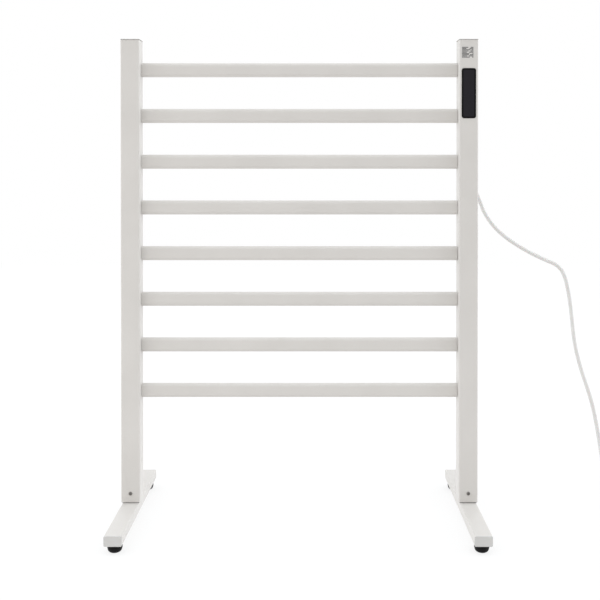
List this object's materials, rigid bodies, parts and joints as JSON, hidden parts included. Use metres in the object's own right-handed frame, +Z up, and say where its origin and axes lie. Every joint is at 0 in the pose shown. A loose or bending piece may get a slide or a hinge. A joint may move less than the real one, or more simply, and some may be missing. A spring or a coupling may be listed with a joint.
{
  "type": "towel warmer rack",
  "caption": "Free-standing electric towel warmer: flat heated bars between two square uprights on tubular feet, with a touch panel and a mains cord.",
  "frame": {"origin": "on the floor, midway between the uprights and midway front to back", "axes": "+X to the right seen from the control panel's side, +Y to the back, +Z up"},
  "size_m": [0.9554, 0.31, 0.81],
  "materials": {
    "white_powder_coat": "fine satin powder coat",
    "white_plastic": "satin moulded plastic",
    "black_rubber": "matt moulded rubber",
    "zinc_steel": "zinc plated",
    "grey_spigot": "die cast, plain",
    "dark_screw": "dark zinc plated",
    "panel_rim": "gloss",
    "panel_gloss": "gloss",
    "black_plastic": "matt",
    "green_board": "solder mask",
    "display_plastic": "satin",
    "natural_plastic": "natural nylon",
    "red_silicone": "silicone jacket",
    "wire_pvc": "insulated wire",
    "label_film": "printed film",
    "cord_pvc": "satin cable jacket",
    "tie_plastic": "soft plastic",
    "plug_plastic": "satin moulded plastic",
    "nickel_pins": "nickel plated"
  },
  "bodies": {
    "rack": {"bar_1": "white_powder_coat", "bar_2": "white_powder_coat", "bar_3": "white_powder_coat", "bar_4": "white_powder_coat", "bar_5": "white_powder_coat", "bar_6": "white_powder_coat", "bar_7": "white_powder_coat", "bar_8": "white_powder_coat", "circuit_board": "green_board", "coil_tie": "tie_plastic", "control_bezel": "panel_rim", "control_housing": "black_plastic", "display_module": "display_plastic", "earth_screw": "zinc_steel", "foot_inserts": "zinc_steel", "front_left_foot_cap": "white_plastic", "front_right_foot_cap": "white_plastic", "gland_nut": "natural_plastic", "heating_cable": "red_silicone", "internal_wiring": "wire_pvc", "left_foot_tube": "white_powder_coat", "left_spigot": "grey_spigot", "left_top_cap": "white_plastic", "left_upright": "white_powder_coat", "left_upright_screw": "dark_screw", "plug_body": "plug_plastic", "plug_pins": "nickel_pins", "power_cord": "cord_pvc", "power_cord_coil": "cord_pvc", "rating_label": "label_film", "rear_left_foot_cap": "white_plastic", "rear_right_foot_cap": "white_plastic", "relay": "black_plastic", "right_foot_tube": "white_powder_coat", "right_spigot": "grey_spigot", "right_top_cap": "white_plastic", "right_upright": "white_powder_coat", "right_upright_screw": "dark_screw", "spigot_bolts": "zinc_steel", "strain_relief": "cord_pvc", "terminal_block": "natural_plastic", "thermal_cutout": "zinc_steel", "touch_lens": "panel_gloss"},
    "front_left_foot": {"front_left_foot_stud": "zinc_steel", "front_left_foot_pad": "black_rubber"},
    "front_right_foot": {"front_right_foot_stud": "zinc_steel", "front_right_foot_pad": "black_rubber"},
    "rear_left_foot": {"rear_left_foot_stud": "zinc_steel", "rear_left_foot_pad": "black_rubber"},
    "rear_right_foot": {"rear_right_foot_stud": "zinc_steel", "rear_right_foot_pad": "black_rubber"}
  },
  "joints": [
    {"name": "front_left_foot_height", "type": "slide", "parent": "rack", "child": "front_left_foot", "axis": [0, 0, -1], "range_m": [0, 0.006]},
    {"name": "front_right_foot_height", "type": "slide", "parent": "rack", "child": "front_right_foot", "axis": [0, 0, -1], "range_m": [0, 0.006]},
    {"name": "rear_left_foot_height", "type": "slide", "parent": "rack", "child": "rear_left_foot", "axis": [0, 0, -1], "range_m": [0, 0.006]},
    {"name": "rear_right_foot_height", "type": "slide", "parent": "rack", "child": "rear_right_foot", "axis": [0, 0, -1], "range_m": [0, 0.006]}
  ]
}
